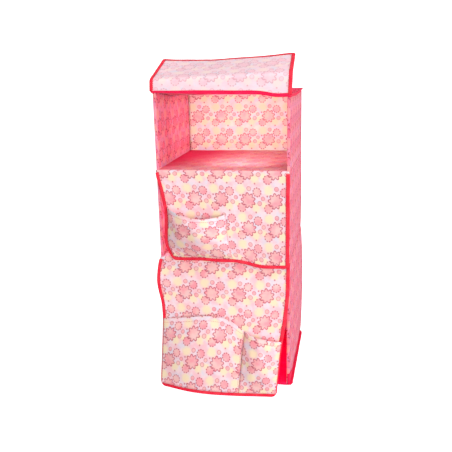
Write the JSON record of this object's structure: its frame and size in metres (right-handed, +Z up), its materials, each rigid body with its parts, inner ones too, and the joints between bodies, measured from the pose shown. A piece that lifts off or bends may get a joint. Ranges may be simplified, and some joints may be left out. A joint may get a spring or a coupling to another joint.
{
  "type": "hanging fabric organiser",
  "caption": "Upright box organiser of floral non-woven cloth over board, open-fronted tiers closed by lift-up flaps, some with patch pockets, and straps to hang it from a rail.",
  "frame": {"origin": "middle of the base's underside, on the plane it stands on", "axes": "+Z up; -Y towards the front, where the flaps open; +X to the right of someone facing the front"},
  "size_m": [0.314, 0.3916, 0.76],
  "materials": {
    "floral_cloth": "printed non-woven cloth, matt, fine dot embossing",
    "crimson_cloth": "plain dyed non-woven cloth, matt",
    "red_tape": "folded non-woven edge tape, stitched",
    "crimson_tape": "folded non-woven edge tape, stitched",
    "greyboard": "raw grey board",
    "webbing": "woven webbing",
    "grip_tape": "hook and loop tape"
  },
  "bodies": {
    "box": {"skin_left": "floral_cloth", "skin_right": "floral_cloth", "skin_back": "floral_cloth", "lining_left": "floral_cloth", "lining_right": "floral_cloth", "lining_back": "floral_cloth", "board_left_bottom": "greyboard", "board_right_bottom": "greyboard", "board_back_bottom": "greyboard", "board_left_middle": "greyboard", "board_right_middle": "greyboard", "board_back_middle": "greyboard", "board_left_top": "greyboard", "board_right_top": "greyboard", "board_back_top": "greyboard", "roof_skin": "crimson_cloth", "roof_board": "greyboard", "roof_lining": "floral_cloth", "shelf_upper_top_cloth": "floral_cloth", "shelf_upper_board": "greyboard", "shelf_upper_under_cloth": "floral_cloth", "shelf_lower_top_cloth": "floral_cloth", "shelf_lower_board": "greyboard", "shelf_lower_under_cloth": "floral_cloth", "base_skin": "crimson_cloth", "base_board": "greyboard", "base_lining": "crimson_cloth", "base_rim_tape": "crimson_tape", "roof_rim_tape": "crimson_tape", "corner_tape_left": "red_tape", "corner_tape_right": "red_tape", "roof_front_tape": "crimson_tape", "flap_bottom_hinge_strip": "floral_cloth", "strap_left_hook_patch": "grip_tape", "strap_left_tab": "webbing", "strap_right_hook_patch": "grip_tape", "strap_right_tab": "webbing"},
    "flap_top_lower": {"flap_top_strip": "floral_cloth", "flap_top_strip_tape_left": "red_tape", "flap_top_strip_tape_right": "red_tape"},
    "flap_top_upper": {"flap_top_leaf": "floral_cloth", "flap_top_leaf_tape": "red_tape"},
    "flap_middle": {"flap_middle_panel": "floral_cloth", "flap_middle_tape": "red_tape", "flap_middle_pocket": "floral_cloth"},
    "flap_bottom": {"flap_bottom_panel": "floral_cloth", "flap_bottom_tape": "red_tape", "flap_bottom_pocket_left": "floral_cloth", "flap_bottom_pocket_right": "floral_cloth"},
    "strap_left": {"strap_left": "webbing", "strap_left_loop_patch": "grip_tape"},
    "strap_right": {"strap_right": "webbing", "strap_right_loop_patch": "grip_tape"}
  },
  "joints": [
    {"name": "flap_top_hinge", "type": "hinge", "parent": "box", "child": "flap_top_lower", "pos_m": [0, -0.154, 0.67], "axis": [-1, 0, 0], "range_deg": [-180, 0]},
    {"name": "flap_top_fold", "type": "hinge", "parent": "flap_top_lower", "child": "flap_top_upper", "pos_m": [0, -0.154, 0.716], "axis": [-0.9994, 0, -0.0349], "range_deg": [-69, 0]},
    {"name": "flap_middle_hinge", "type": "hinge", "parent": "box", "child": "flap_middle", "pos_m": [0, -0.1522, 0.508], "axis": [-1, 0, 0], "range_deg": [0, 120]},
    {"name": "flap_bottom_hinge", "type": "hinge", "parent": "box", "child": "flap_bottom", "pos_m": [0, -0.1522, 0.286], "axis": [-1, 0, 0], "range_deg": [0, 110]},
    {"name": "strap_left_closure", "type": "hinge", "parent": "box", "child": "strap_left", "pos_m": [-0.07, 0.018, 0.6745], "axis": [-1, 0, 0], "range_deg": [0, 88]},
    {"name": "strap_right_closure", "type": "hinge", "parent": "box", "child": "strap_right", "pos_m": [0.07, 0.018, 0.6745], "axis": [-1, 0, 0], "range_deg": [0, 88]}
  ],
  "couplings": [
    {"joint": "flap_top_fold", "follows": "flap_top_hinge", "ratio": 0.38333}
  ]
}
